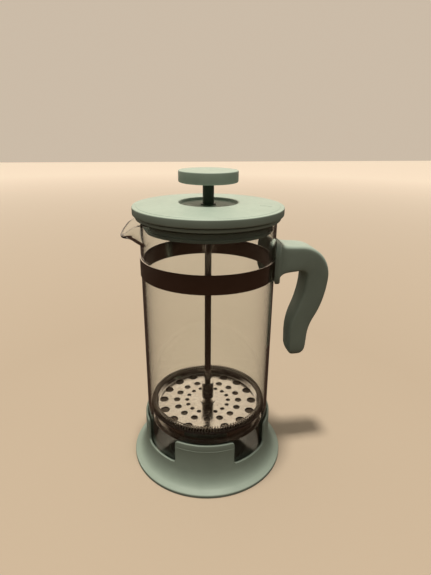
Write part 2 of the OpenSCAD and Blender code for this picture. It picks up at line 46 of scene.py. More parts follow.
# ---------------------------------------------------------------- Camera
# It stands in front of the press and a little above the lid, looking down at the
# plate, with the handle to the right and 10 degrees further off than the beaker.
handle_bearing = math.radians(10)
look_down = math.radians(20.68)
camera_roll = math.radians(0.58)
camera_place = Vector((-47.65, -302.9, 260.34)) * mm
lens_length = 27.05
camera_data = bpy.data.cameras.new("camera")
camera_data.lens = lens_length
camera = bpy.data.objects.new("camera", camera_data)
bpy.context.scene.collection.objects.link(camera)
camera_turn = (
    Matrix.Rotation(-handle_bearing, 4, "Z")
    @ Matrix.Rotation(math.pi / 2 - look_down, 4, "X")
    @ Matrix.Rotation(camera_roll, 4, "Z")
)
camera.matrix_world = Matrix.Translation(camera_place) @ camera_turn
bpy.context.scene.camera = camera

# ---------------------------------------------------------------- Table and light
# A plain pale table under one soft lamp almost overhead. The room is pale behind the
# press and dark in front of it, and the table is dim and warm to everything but the eye.
bpy.context.scene.view_settings.view_transform = "Standard"
table_size = 6
table_drop = 0.02 * mm
table_pale = (0.46, 0.375, 0.285)
table_dim = (0.09, 0.06, 0.04)
table_in_steel = (0.02, 0.007, 0.002)
table_near = 0.25
table_far = 2.2
far_glow = 1.5
lamp_size = 0.15
lamp_power = 24
lamp_colour = (1, 0.93, 0.83)
lamp_place = (-0.04, -0.06, 1.6)
wall_seen = (0.6, 0.5, 0.39)
ceiling_low = (0.02, 0.014, 0.009)
ceiling_high = (0.66, 0.62, 0.54)
room_dark = (0.016, 0.008, 0.004)
room_pale = (1.2, 0.98, 0.76)
streak_share = 0.08


def alone(piece):
    """Selects this piece and nothing else."""
    bpy.ops.object.select_all(action="DESELECT")
    piece.select_set(True)
    bpy.context.view_layer.objects.active = piece


def reckoned(tree, operation, first, second):
    """The value of one maths step on two values."""
    step = tree.nodes.new("ShaderNodeMath")
    step.operation = operation
    for socket, value in zip(step.inputs, (first, second)):
        if isinstance(value, (int, float)):
            socket.default_value = value
        else:
            tree.links.new(value, socket)
    return step.outputs[0]


def how_seen(tree):
    """1 for what the eye sees, straight or through glass; 1 for what polished metal mirrors."""
    ray = tree.nodes.new("ShaderNodeLightPath").outputs
    straight = reckoned(tree, "MAXIMUM", ray["Is Camera Ray"], ray["Is Transmission Ray"])
    bounces = reckoned(tree, "ADD", ray["Diffuse Depth"], ray["Glossy Depth"])
    seen = reckoned(tree, "MULTIPLY", straight, reckoned(tree, "LESS_THAN", bounces, 0.5))
    return seen, reckoned(tree, "MINIMUM", ray["Glossy Depth"], 1)


def toned(tree, share, first, second):
    """A colour between two colours, by share."""
    mix = tree.nodes.new("ShaderNodeMix")
    mix.data_type = "RGBA"
    tree.links.new(share, mix.inputs[0])
    for socket, colour in ((mix.inputs[6], first), (mix.inputs[7], second)):
        if isinstance(colour, tuple):
            socket.default_value = colour + (1,)
        else:
            tree.links.new(colour, socket)
    return mix.outputs[2]


def ranged(tree, value, low, high, out_low=0, out_high=1):
    """Maps a value from one range to another and keeps it inside."""
    node = tree.nodes.new("ShaderNodeMapRange")
    for name, number in zip(("From Min", "From Max", "To Min", "To Max"), (low, high, out_low, out_high)):
        node.inputs[name].default_value = number
    tree.links.new(value, node.inputs["Value"])
    return node.outputs["Result"]


bpy.ops.object.select_all(action="DESELECT")
bpy.ops.mesh.primitive_plane_add(size=table_size, location=(0, 0, -table_drop))
table = bpy.context.object
table.name = "table"
table_finish = bpy.data.materials.new("pale_table")
table_finish.use_nodes = True
table_tree = table_finish.node_tree
table_seen, table_mirrored = how_seen(table_tree)
table_unseen = toned(table_tree, table_mirrored, table_dim, table_in_steel)
table_colour = toned(table_tree, table_seen, table_unseen, table_pale)
table_shader = table_tree.nodes["Principled BSDF"]
table_tree.links.new(table_colour, table_shader.inputs["Base Color"])
from_press = table_tree.nodes.new("ShaderNodeVectorMath")
from_press.operation = "LENGTH"
table_place = table_tree.nodes.new("ShaderNodeTexCoord").outputs["Object"]
table_tree.links.new(table_place, from_press.inputs[0])
far = ranged(table_tree, from_press.outputs["Value"], table_near, table_far, 0, far_glow)
table_glow = reckoned(table_tree, "MULTIPLY", far, table_seen)
table_tree.links.new(table_glow, table_shader.inputs["Emission Strength"])
table_shader.inputs["Emission Color"].default_value = table_pale + (1,)
table_shader.inputs["Roughness"].default_value = 0.8
table_shader.inputs["Specular IOR Level"].default_value = 0.2
table.data.materials.append(table_finish)

lamp_data = bpy.data.lights.new("overhead_lamp", "AREA")
lamp_data.shape = "DISK"
lamp_data.size = lamp_size
lamp_data.energy = lamp_power
lamp_data.color = lamp_colour
lamp = bpy.data.objects.new("overhead_lamp", lamp_data)
bpy.context.scene.collection.objects.link(lamp)
lamp.location = lamp_place
lamp.rotation_euler = lamp.location.to_track_quat("Z", "Y").to_euler()

world = bpy.data.worlds.new("soft_room")
bpy.context.scene.world = world
world.use_nodes = True
room = world.node_tree
way = room.nodes.new("ShaderNodeTexCoord").outputs["Generated"]
apart = room.nodes.new("ShaderNodeSeparateXYZ")
room.links.new(way, apart.inputs[0])
above = ranged(room, apart.outputs["Z"], 0.1, 0.9)
ceiling = toned(room, above, ceiling_low, ceiling_high)
upright = room.nodes.new("ShaderNodeMapping")
upright.inputs["Scale"].default_value = (1, 1, 0.05)
room.links.new(way, upright.inputs["Vector"])
furniture = room.nodes.new("ShaderNodeTexNoise")
furniture.inputs["Scale"].default_value = 5
furniture.inputs["Detail"].default_value = 2
room.links.new(upright.outputs["Vector"], furniture.inputs["Vector"])
streaks = ranged(room, furniture.outputs["Fac"], 0.54, 0.66, 0, streak_share)
behind = ranged(room, apart.outputs["Y"], 0.1, 0.75)
in_steel = toned(room, reckoned(room, "MAXIMUM", behind, streaks), room_dark, room_pale)
room_seen, room_mirrored = how_seen(room)
room_unseen = toned(room, room_mirrored, ceiling, in_steel)
room_colour = toned(room, room_seen, room_unseen, wall_seen)
room.links.new(room_colour, room.nodes["Background"].inputs["Color"])

# ---------------------------------------------------------------- Holder
# One moulding in matt sage polypropylene: a flared foot, a floor and four curved
# tabs that grip the glass. The wall is shaped flat, then wrapped into a ring.
beaker_low, beaker_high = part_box("glass_beaker")
holder_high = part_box("base_holder")[1]
glass_r = 49 * mm
foot_r = holder_high.y
holder_in_r = glass_r + 0.6 * mm
holder_wall = 1.8 * mm
holder_r = holder_in_r + holder_wall
tab_top = holder_high.z
sill = 19 * mm
flare_top = 15 * mm
foot_edge = 2.4 * mm
tab_count = 4
window_angle = math.radians(38)
tab_bearing = math.radians(-11.5)
wall_facets = 144


def filleted(corners, steps=5):
    """The outline through (across, up, fillet) corners, each rounded as far as its fillet reaches."""
    points = []
    for i, (across, up, fillet) in enumerate(corners):
        corner = Vector((across, up))
        if not fillet or i in (0, len(corners) - 1):
            points.append(corner)
            continue
        before = Vector(corners[i - 1][:2]) - corner
        after = Vector(corners[i + 1][:2]) - corner
        start = corner + before.normalized() * min(fillet, before.length * 0.49)
        end = corner + after.normalized() * min(fillet, after.length * 0.49)
        for k in range(steps + 1):
            t = k / steps
            points.append((1 - t) ** 2 * start + 2 * t * (1 - t) * corner + t * t * end)
    return points


def drawn(name, points):
    """A new mesh of edges through these points, left in edit mode with its last point picked."""
    bpy.ops.object.select_all(action="DESELECT")
    bpy.ops.mesh.primitive_plane_add(size=mm)
    piece = bpy.context.object
    piece.name = name
    piece.data.name = name
    bpy.ops.object.mode_set(mode="EDIT")
    bpy.ops.mesh.select_mode(type="VERT")
    bpy.ops.mesh.merge(type="CENTER")
    bpy.ops.transform.translate(value=points[0])
    for start, end in zip(points, points[1:]):
        step = Vector(end) - Vector(start)
        bpy.ops.mesh.extrude_region_move(TRANSFORM_OT_translate={"value": step})
    return piece


def pick(kind, test):
    """Picks the parts of the mesh in edit mode that pass a test of their own element."""
    bpy.ops.mesh.select_all(action="DESELECT")
    bpy.ops.mesh.select_mode(type={"verts": "VERT", "edges": "EDGE", "faces": "FACE"}[kind])
    mesh = bmesh.from_edit_mesh(bpy.context.object.data)
    for element in getattr(mesh, kind):
        element.select = test(element)
    mesh.select_flush_mode()
    bmesh.update_edit_mesh(bpy.context.object.data)


def welded():
    """Merges doubled points, turns every face outwards and leaves edit mode."""
    bpy.ops.mesh.select_all(action="SELECT")
    bpy.ops.mesh.remove_doubles(threshold=0.004 * mm)
    bpy.ops.mesh.normals_make_consistent(inside=False)
    bpy.ops.object.mode_set(mode="OBJECT")


def turned(name, outline, steps=144):
    """A piece turned about the beaker's axis from an outline of (radius, height) points."""
    piece = drawn(name, [(r, 0, z) for r, z in outline])
    bpy.ops.mesh.select_all(action="SELECT")
    bpy.ops.mesh.spin(steps=steps, angle=2 * math.pi, center=(0, 0, 0), axis=(0, 0, 1))
    welded()
    return piece


def ring_outline(corners):
    """A closed outline: the filleted corners, and back to the first of them."""
    points = filleted(corners + [corners[0]])
    return points[:-1] + [points[0]]


def with_modifier(piece, kind, **settings):
    """Adds a modifier with these settings and applies it."""
    alone(piece)
    modifier = piece.modifiers.new(kind.lower(), kind)
    for name, value in settings.items():
        setattr(modifier, name, value)
    bpy.ops.object.modifier_apply(modifier=modifier.name)


def swung(piece, bearing, out=0, up=0):
    """Sets the piece out from the beaker's axis and up, swung round to this bearing."""
    alone(piece)
    piece.location = (out * math.cos(bearing), out * math.sin(bearing), up)
    piece.rotation_euler = (0, 0, bearing)
    bpy.ops.object.transform_apply(location=True, rotation=True, scale=False)


def joined(piece, *others):
    """Joins other meshes into this piece."""
    alone(piece)
    for other in others:
        other.select_set(True)
    bpy.ops.object.join()
    return piece


def cut_out(piece, *cutters):
    """Takes the shape of the cutters out of the piece and throws them away."""
    cutter = joined(*cutters)
    with_modifier(piece, "BOOLEAN", operation="DIFFERENCE", object=cutter, solver="EXACT")
    bpy.data.objects.remove(cutter)


def finished(piece, finish, slot, body, *nodes, sharp=35):
    """Smooths the piece, gives it its finish and hangs it on its body in place of CAD nodes."""
    alone(piece)
    bpy.ops.object.shade_smooth_by_angle(angle=math.radians(sharp))
    piece.data.materials.clear()
    piece.data.materials.append(finish)
    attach(piece, body)
    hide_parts(*nodes)


def new_finish(name):
    """A new material, its node tree and its main shader."""
    finish = bpy.data.materials.new(name)
    finish.use_nodes = True
    return finish, finish.node_tree, finish.node_tree.nodes["Principled BSDF"]


def grain(tree, scale, detail=2, stretch=(1, 1, 1), place=None):
    """Noise in the object's own space, with about scale lumps in a metre, stretched if asked."""
    if place is None:
        place = tree.nodes.new("ShaderNodeTexCoord").outputs["Object"]
    mapping = tree.nodes.new("ShaderNodeMapping")
    mapping.inputs["Scale"].default_value = stretch
    noise = tree.nodes.new("ShaderNodeTexNoise")
    noise.inputs["Scale"].default_value = scale
    noise.inputs["Detail"].default_value = detail
    tree.links.new(place, mapping.inputs["Vector"])
    tree.links.new(mapping.outputs["Vector"], noise.inputs["Vector"])
    return noise.outputs["Fac"]


def bumped(tree, height, depth, strength, after=None):
    """A bump of this depth from a height, on top of an earlier one."""
    bump = tree.nodes.new("ShaderNodeBump")
    bump.inputs["Distance"].default_value = depth
    bump.inputs["Strength"].default_value = strength
    tree.links.new(height, bump.inputs["Height"])
    if after is not None:
        tree.links.new(after, bump.inputs["Normal"])
    return bump.outputs["Normal"]


def moulded_plastic(name, dark, light, rough):
    """Matt moulded plastic: fine spark-eroded grain, faint mottling and a few paler scuffs."""
    finish, tree, shader = new_finish(name)
    mottle = ranged(tree, grain(tree, 55, 4), 0.35, 0.65, 0, 1)
    colour = toned(tree, mottle, dark, light)
    scuff = ranged(tree, grain(tree, 900, 6, (1, 0.25, 1)), 0.68, 0.8, 0, 0.25)
    colour = toned(tree, scuff, colour, tuple(c * 1.25 for c in light))
    tree.links.new(colour, shader.inputs["Base Color"])
    roughness = ranged(tree, grain(tree, 260, 5), 0.3, 0.7, rough - 0.06, rough + 0.07)
    tree.links.new(roughness, shader.inputs["Roughness"])
    coarse = bumped(tree, grain(tree, 140, 2), 0.06 * mm, 0.25)
    fine = bumped(tree, grain(tree, 3200, 2), 0.03 * mm, 0.35, coarse)
    tree.links.new(fine, shader.inputs["Normal"])
    shader.inputs["IOR"].default_value = 1.49
    shader.inputs["Specular IOR Level"].default_value = 0.45
    return finish


sage_plastic = moulded_plastic("sage_plastic", (0.31, 0.38, 0.32), (0.34, 0.415, 0.35), 0.5)

# The wall's outline laid flat, with a window between each two tabs
wall_length = 2 * math.pi * holder_in_r
half_window = window_angle * holder_in_r / 2
tab_fillet = 3.2 * mm
half_wall = wall_length / 2
wall_corners = [(-half_wall, flare_top, 0), (half_wall, flare_top, 0), (half_wall, tab_top, 0)]
for i in reversed(range(tab_count)):
    middle = (i + 0.5 - tab_count / 2) * wall_length / tab_count
    wall_corners += [
        (middle + half_window, tab_top, tab_fillet),
        (middle + half_window, sill, tab_fillet),
        (middle - half_window, sill, tab_fillet),
        (middle - half_window, tab_top, tab_fillet),
    ]
wall_corners += [(-half_wall, tab_top, 0), (-half_wall, flare_top, 0)]
holder = drawn("holder", [(x, 0, z) for x, z in filleted(wall_corners, 6)])
bpy.ops.mesh.select_all(action="SELECT")
bpy.ops.mesh.remove_doubles(threshold=0.004 * mm)
bpy.ops.mesh.edge_face_add()
bpy.ops.mesh.extrude_region_move(TRANSFORM_OT_translate={"value": (0, -holder_wall, 0)})

# Its upper edges are rounded, and a fine step runs along the top of each tab
tiny = 0.01 * mm
step_h = 5 * mm
step_depth = 0.15 * mm
pick(
    "edges",
    lambda e: abs(e.verts[0].co.y - e.verts[1].co.y) < tiny
    and max(v.co.z for v in e.verts) > flare_top + tiny
    and min(abs(v.co.x) for v in e.verts) < half_wall - tiny,
)
bpy.ops.mesh.bevel(offset=0.45 * mm, segments=3, affect="EDGES")
for cut in (tab_top - step_h - step_depth, tab_top - step_h):
    bpy.ops.mesh.select_all(action="SELECT")
    bpy.ops.mesh.bisect(plane_co=(0, 0, cut), plane_no=(0, 0, 1))
pick("verts", lambda v: v.co.z > tab_top - step_h - tiny and v.co.y < -holder_wall / 2)
bpy.ops.transform.translate(value=(0, step_depth, 0))
for i in range(1, wall_facets):
    bpy.ops.mesh.select_all(action="SELECT")
    bpy.ops.mesh.bisect(plane_co=((i / wall_facets - 0.5) * wall_length, 0, 0), plane_no=(1, 0, 0))
pick(
    "faces",
    lambda f: abs(f.calc_center_median().z - flare_top) < tiny
    or abs(abs(f.calc_center_median().x) - half_wall) < tiny,
)
bpy.ops.mesh.delete(type="FACE")

# The foot sweeps out from the wall's lower edge, turns under and comes back to the inner face
foot_line = filleted(
    [
        (holder_r, flare_top, 0),
        (55 * mm, 6 * mm, 30 * mm),
        (foot_r, foot_edge, 0),
    ],
    12,
)
foot_line = foot_line[1:-1] + filleted(
    [
        foot_line[-2].to_tuple() + (0,),
        (foot_r, foot_edge, 0.7 * mm),
        (foot_r, 0, 0.5 * mm),
        (foot_r - 1.8 * mm, 0, 0.4 * mm),
        (53 * mm, 5.5 * mm, 4 * mm),
        (holder_r, 9 * mm, 0),
        (holder_r, 0, 0.4 * mm),
        (holder_in_r, 0, 0.4 * mm),
        (holder_in_r, flare_top, 0),
    ]
)[1:]
pick(
    "edges",
    lambda e: all(abs(v.co.z - flare_top) < tiny and abs(v.co.y + holder_wall) < tiny for v in e.verts),
)
last_point = Vector((holder_r, flare_top))
for point in foot_line:
    out, up = point - last_point
    bpy.ops.mesh.extrude_region_move(TRANSFORM_OT_translate={"value": (0, -out, up)})
    last_point = point
welded()
with_modifier(holder, "SIMPLE_DEFORM", deform_method="BEND", deform_axis="Z", angle=2 * math.pi)
alone(holder)
bpy.ops.object.mode_set(mode="EDIT")
bpy.ops.mesh.select_all(action="SELECT")
bpy.ops.transform.translate(value=(0, -holder_in_r, 0))
welded()
swung(holder, tab_bearing)

# Floor with the raised ring that the glass stands on
rest_top = beaker_low.z
floor_top = 2 * mm
holder_floor = turned(
    "holder_floor",
    filleted(
        [
            (0, 0, 0),
            (holder_in_r + 0.5 * mm, 0, 0),
            (holder_in_r + 0.5 * mm, floor_top, 0),
            (33 * mm, floor_top, 0.5 * mm),
            (33 * mm, rest_top, 0.5 * mm),
            (30 * mm, rest_top, 0.5 * mm),
            (30 * mm, floor_top, 0.5 * mm),
            (0, floor_top, 0),
        ]
    ),
)
finished(joined(holder, holder_floor), sage_plastic, "sage_plastic", "root", "base_holder")

# ---------------------------------------------------------------- Glass
# A blown borosilicate beaker with a rounded bottom and a fire-polished rim. The
# spout is pulled out of the soft rim with a paddle, so its lip turns down.
rim_z = beaker_high.z
glass_wall = 2 * mm
spout_bearing = math.radians(190)
spout_way = Vector((math.cos(spout_bearing), math.sin(spout_bearing), 0))
spout_side = Vector((0, 0, 1)).cross(spout_way)
spout_reach = 13.6 * mm
spout_width = 17 * mm

outer_line = filleted(
    [
        (0, beaker_low.z, 0),
        (glass_r, beaker_low.z, 9 * mm),
        (glass_r, beaker_low.z + 30 * mm, 0),
    ],
    8,
)
straight_rise = [beaker_low.z + 30 * mm + k * 12 * mm for k in range(1, 12)]
fine_start = rim_z - 24 * mm
outer_line += [Vector((glass_r, z)) for z in straight_rise if z < fine_start - 4 * mm]
outer_line += [Vector((glass_r, fine_start + k * mm)) for k in range(24)]
outer_line += [Vector((glass_r + 0.25 * mm, rim_z - 0.3 * mm))]
beaker = turned("beaker", outer_line, 240)
alone(beaker)
bpy.ops.object.mode_set(mode="EDIT")
bpy.ops.mesh.select_all(action="SELECT")
bpy.ops.mesh.flip_normals()
bpy.ops.object.mode_set(mode="OBJECT")


def draw_out(half_width, move, reach, falloff):
    """Draws the rim near the spout along move, and the glass round it less and less."""
    pick(
        "verts",
        lambda v: v.is_boundary and v.co.dot(spout_way) > 0 and abs(v.co.dot(spout_side)) <= half_width,
    )
    bpy.ops.transform.translate(
        value=move,
        use_proportional_edit=True,
        proportional_edit_falloff=falloff,
        proportional_size=reach,
    )


alone(beaker)
bpy.ops.object.mode_set(mode="EDIT")
draw_out(0.7 * mm, spout_way * spout_reach, spout_width, "INVERSE_SQUARE")
for half_width, drop in ((9, 3), (6, 2.5), (3, 2), (0.7, 1.5)):
    draw_out(half_width * mm, (0, 0, -drop * mm), 9 * mm, "LINEAR")
bpy.ops.object.mode_set(mode="OBJECT")
with_modifier(beaker, "SMOOTH", factor=0.5, iterations=2)
with_modifier(beaker, "SOLIDIFY", thickness=glass_wall, offset=-1, use_even_offset=True)
with_modifier(
    beaker,
    "BEVEL",
    width=0.8 * mm,
    segments=4,
    limit_method="ANGLE",
    angle_limit=math.radians(60),
    use_clamp_overlap=True,
)


def clear_glass_finish():
    """Clear glass with a breath of green, faint ripples, a few wiped smears, and painted shade that
    darkens it where it is seen edge-on.
    """
    finish, tree, shader = new_finish("clear_glass")
    shader.inputs["Transmission Weight"].default_value = 1
    shader.inputs["IOR"].default_value = 1.47
    clear = ranged(tree, grain(tree, 20, 2), 0.4, 0.6, 0, 1)
    tint = toned(tree, clear, (0.945, 0.965, 0.95), (0.965, 0.98, 0.968))
    # Painted shade: the glass is tinted dark where it is seen edge-on, for the dark lines along its
    # silhouettes.
    facing = tree.nodes.new("ShaderNodeLayerWeight").outputs["Facing"]
    edge = ranged(tree, facing, 0.84, 1, 0, 0.8)
    tree.links.new(toned(tree, edge, tint, (0.42, 0.44, 0.36)), shader.inputs["Base Color"])
    smear = ranged(tree, grain(tree, 45, 6, (1, 1, 0.25)), 0.6, 0.8, 0.0, 0.035)
    tree.links.new(smear, shader.inputs["Roughness"])
    tree.links.new(bumped(tree, grain(tree, 14, 1, (1, 1, 0.4)), 0.4 * mm, 0.12), shader.inputs["Normal"])
    shadow = tree.nodes.new("ShaderNodeBsdfTransparent")
    shadow.inputs["Color"].default_value = (0.93, 0.95, 0.93, 1)
    path = tree.nodes.new("ShaderNodeLightPath")
    mix = tree.nodes.new("ShaderNodeMixShader")
    tree.links.new(path.outputs["Is Shadow Ray"], mix.inputs["Fac"])
    tree.links.new(shader.outputs[0], mix.inputs[1])
    tree.links.new(shadow.outputs[0], mix.inputs[2])
    tree.links.new(mix.outputs[0], tree.nodes["Material Output"].inputs["Surface"])
    return finish


finished(beaker, clear_glass_finish(), "clear_glass", "root", "glass_beaker", sharp=50)

# ---------------------------------------------------------------- Steel band
# A strip of polished stainless steel wrapped round the glass, its long edges
# rolled smooth. Its two ears stand out inside the handle, where a screw draws them.
band_low, band_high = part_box("steel_band")
band_t = 0.6 * mm
band_in_r = glass_r + 0.05 * mm
band_r = band_in_r + band_t
ear_gap = 2.4 * mm


def steel_finish(name, dark, light, rough, lines=(1, 1, 60), line_depth=0.01, smut=0.3):
    """Stainless steel: rolling lines, uneven polish and the brown bloom of coffee oil."""
    finish, tree, shader = new_finish(name)
    shader.inputs["Metallic"].default_value = 1
    bloom = ranged(tree, grain(tree, 90, 5), 0.4, 0.7, 0, smut)
    colour = toned(tree, ranged(tree, grain(tree, 400, 3, lines), 0.3, 0.7, 0, 1), dark, light)
    brown = tuple(c * s for c, s in zip(dark, (0.75, 0.66, 0.55)))
    tree.links.new(toned(tree, bloom, colour, brown), shader.inputs["Base Color"])
    roughness = ranged(tree, grain(tree, 700, 4, lines), 0.3, 0.7, rough * 0.75, rough * 1.35)
    tree.links.new(roughness, shader.inputs["Roughness"])
    tree.links.new(bumped(tree, grain(tree, 900, 3, lines), line_depth * mm, 0.3), shader.inputs["Normal"])
    return finish


polished_steel = steel_finish("polished_steel", (0.56, 0.53, 0.5), (0.66, 0.63, 0.6), 0.16)
band = turned(
    "band",
    ring_outline(
        [
            (band_in_r, band_low.z, 0),
            (band_r, band_low.z, 0.25 * mm),
            (band_r, band_high.z, 0.25 * mm),
            (band_in_r, band_high.z, 0.25 * mm),
        ]
    ),
    180,
)
ear_x = (band_high.x + band_in_r) / 2
ear_y = (ear_gap + band_t) / 2
ears = []
for side in (-1, 1):
    bpy.ops.object.select_all(action="DESELECT")
    bpy.ops.mesh.primitive_cube_add(size=1)
    ear = bpy.context.object
    bpy.ops.object.mode_set(mode="EDIT")
    bpy.ops.mesh.select_all(action="SELECT")
    bpy.ops.transform.resize(value=(band_high.x - band_in_r, band_t, band_high.z - band_low.z))
    bpy.ops.transform.translate(value=(ear_x, side * ear_y, (band_high.z + band_low.z) / 2))
    bpy.ops.mesh.bevel(offset=0.15 * mm, segments=2, affect="EDGES")
    bpy.ops.object.mode_set(mode="OBJECT")
    ears.append(ear)
finished(joined(band, *ears), polished_steel, "polished_steel", "root", "steel_band")

# ---------------------------------------------------------------- Saddle, arm and grip
# The saddle is a curved sage pad with soft corners, shaped flat and wrapped round
# the band. The arm and the hollow S-shaped grip are one moulding that grows from it.
saddle_low, saddle_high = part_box("handle_saddle")
saddle_r = saddle_high.x
saddle_in_r = band_r + 0.1 * mm
saddle_z = (saddle_low.z + saddle_high.z) / 2
saddle_angle = 2 * math.asin(saddle_high.y / saddle_r)
saddle_length = saddle_angle * saddle_in_r
saddle_corner = 11 * mm
half_height = (saddle_high.z - saddle_low.z) / 2
left, right = -saddle_length / 2, saddle_length / 2
saddle_line = filleted(
    [
        (0, -half_height, 0),
        (right, -half_height, saddle_corner),
        (right, half_height, saddle_corner),
        (left, half_height, saddle_corner),
        (left, -half_height, saddle_corner),
        (0, -half_height, 0),
    ],
    8,
)
saddle = drawn("saddle", [(x, 0, z) for x, z in saddle_line])
bpy.ops.mesh.select_all(action="SELECT")
bpy.ops.mesh.remove_doubles(threshold=0.004 * mm)
bpy.ops.mesh.edge_face_add()
bpy.ops.mesh.extrude_region_move(TRANSFORM_OT_translate={"value": (0, saddle_in_r - saddle_r, 0)})
pick("edges", lambda e: all(v.co.y < -tiny for v in e.verts))
bpy.ops.mesh.bevel(offset=1.6 * mm, segments=5, affect="EDGES")
saddle_facets = 24
for i in range(1, saddle_facets):
    bpy.ops.mesh.select_all(action="SELECT")
    bpy.ops.mesh.bisect(plane_co=((i / saddle_facets - 0.5) * saddle_length, 0, 0), plane_no=(1, 0, 0))
welded()
with_modifier(saddle, "SIMPLE_DEFORM", deform_method="BEND", deform_axis="Z", angle=saddle_angle)
alone(saddle)
saddle.location = (saddle_in_r, 0, saddle_z)
saddle.rotation_euler = (0, 0, math.pi / 2)
bpy.ops.object.transform_apply(location=True, rotation=True, scale=False)
finished(saddle, sage_plastic, "sage_plastic", "root", "handle_saddle")

# The grip is drawn out straight as a run of sections, then bent down at each of them
arm_z = (band_low.z + band_high.z) / 2 + 2.5 * mm
root_x = glass_r + 1.4 * mm
arm_end = glass_r + 21 * mm
bend_r = 15 * mm
sweep_r = 76 * mm
return_r = 46 * mm
lean = math.radians(24.5)
tail_length = 9 * mm
arm_half_h = 10.8 * mm
grip_half_d = 9.1 * mm
tail_half_d = 7.3 * mm
arm_half_w = 11.4 * mm
tail_half_w = 7.3 * mm
arm_share = 0.35
tail_from = 0.6
round_from = 0.45
roundness = 0.3
grip_corner = 3.6 * mm
cap_reach = 1.2 * tail_half_d
bend_steps = 8
sweep_steps = 6
return_steps = 6

# Each section is its distance from the root, its turn down and its flare at the root
root_flares = ((0, 4.4), (1.2, 3.2), (2.6, 1.9), (4.4, 0.9), (7, 0.25), (11, 0), (15, 0))
sections = [(x * mm, 0, flare * mm) for x, flare in root_flares]
along = arm_end - root_x
for count, radius, turn in (
    (bend_steps, bend_r, math.pi / 2),
    (sweep_steps, sweep_r, lean),
    (return_steps, return_r, -lean),
):
    for i in range(count):
        sections.append((along, turn / count, 0))
        along += radius * abs(turn) / count
tail_steps = 2
for i in range(tail_steps + 1):
    sections.append((along, 0, 0))
    along += tail_length / tail_steps
grip_length = along - tail_length / tail_steps


def section_size(x):
    """Half depth and half width of the grip at this distance from its root."""
    share = x / grip_length
    thinned = min(1, share / arm_share)
    tapered = max(0, (share - tail_from) / (1 - tail_from))
    half_d = arm_half_h + (grip_half_d - arm_half_h) * thinned + (tail_half_d - grip_half_d) * tapered
    return half_d, arm_half_w + (tail_half_w - arm_half_w) * share


def bent_down(piece, first, ring_size):
    """Bends a straight bar of rings down at each section, from the last to the first."""
    alone(piece)
    bpy.ops.object.mode_set(mode="EDIT")
    for i in reversed(range(len(sections))):
        x, turn, _ = sections[i]
        if not turn:
            continue
        pick("verts", lambda v: v.index >= (i - first) * ring_size)
        bpy.ops.transform.rotate(
            value=-turn, orient_axis="Y", center_override=(root_x + x, 0, arm_z)
        )
    bpy.ops.object.mode_set(mode="OBJECT")


def bar_end(name):
    """A new upright face across the X axis, left in edit mode: the end of a bar to be drawn out."""
    bpy.ops.object.select_all(action="DESELECT")
    bpy.ops.mesh.primitive_plane_add(size=2, rotation=(0, math.pi / 2, 0))
    piece = bpy.context.object
    piece.name = name
    bpy.ops.object.transform_apply(location=False, rotation=True, scale=False)
    bpy.ops.object.mode_set(mode="EDIT")
    return piece


grip = bar_end("grip")
depth, width = section_size(0)
flare = sections[0][2]
bpy.ops.transform.resize(value=(1, width + flare, depth + flare))
bpy.ops.transform.translate(value=(root_x, 0, arm_z))
bpy.ops.mesh.bevel(offset=grip_corner, segments=4, affect="VERTICES")
grip_ring = len(bmesh.from_edit_mesh(grip.data).verts)
bpy.ops.mesh.select_all(action="SELECT")
for (x0, _, flare0), (x1, _, flare1) in zip(sections, sections[1:]):
    bpy.ops.mesh.extrude_region_move(TRANSFORM_OT_translate={"value": (x1 - x0, 0, 0)})
    old = [size + flare0 for size in section_size(x0)]
    new = [size + flare1 for size in section_size(x1)]
    bpy.ops.transform.resize(
        value=(1, new[1] / old[1], new[0] / old[0]), center_override=(root_x + x1, 0, arm_z)
    )
    if x1 > grip_length * round_from:
        bpy.ops.transform.tosphere(value=roundness)
cap_x = sections[-1][0]
cap_share = 1
for angle in (22.5, 45, 67.5, 84):
    round_off = math.radians(angle)
    x = sections[-1][0] + cap_reach * math.sin(round_off)
    share = math.cos(round_off)
    bpy.ops.mesh.extrude_region_move(TRANSFORM_OT_translate={"value": (x - cap_x, 0, 0)})
    bpy.ops.transform.resize(
        value=(1, share / cap_share, share / cap_share), center_override=(root_x + x, 0, arm_z)
    )
    cap_x, cap_share = x, share
bpy.ops.object.mode_set(mode="OBJECT")
bent_down(grip, 0, grip_ring)
with_modifier(grip, "SUBSURF", levels=2, render_levels=2)
alone(grip)
bpy.ops.object.mode_set(mode="EDIT")
welded()
finished(grip, sage_plastic, "sage_plastic", "root", "handle_grip", sharp=50)

# The strip that closes the hollow inside of the grip, a hair proud so that its edge shows
cover_first = len(root_flares) + bend_steps // 2
cover_half_w = 6 * mm
cover_proud = 0.18 * mm
cover_t = 1.6 * mm
cover = bar_end("grip_cover")
bpy.ops.transform.resize(value=(1, cover_half_w, cover_t / 2))
start_x = sections[cover_first][0]
start_z = arm_z - section_size(start_x)[0] - cover_proud + cover_t / 2
bpy.ops.transform.translate(value=(root_x + start_x, 0, start_z))
bpy.ops.mesh.bevel(offset=0.35 * mm, segments=2, affect="VERTICES")
cover_ring = len(bmesh.from_edit_mesh(cover.data).verts)
bpy.ops.mesh.select_all(action="SELECT")
for (x0, _, _), (x1, _, _) in zip(sections[cover_first:], sections[cover_first + 1 :]):
    sink = section_size(x0)[0] - section_size(x1)[0]
    bpy.ops.mesh.extrude_region_move(TRANSFORM_OT_translate={"value": (x1 - x0, 0, sink)})
bpy.ops.object.mode_set(mode="OBJECT")
bent_down(cover, cover_first, cover_ring)
alone(cover)
bpy.ops.object.mode_set(mode="EDIT")
welded()
finished(cover, sage_plastic, "sage_plastic", "root", "handle_cover")

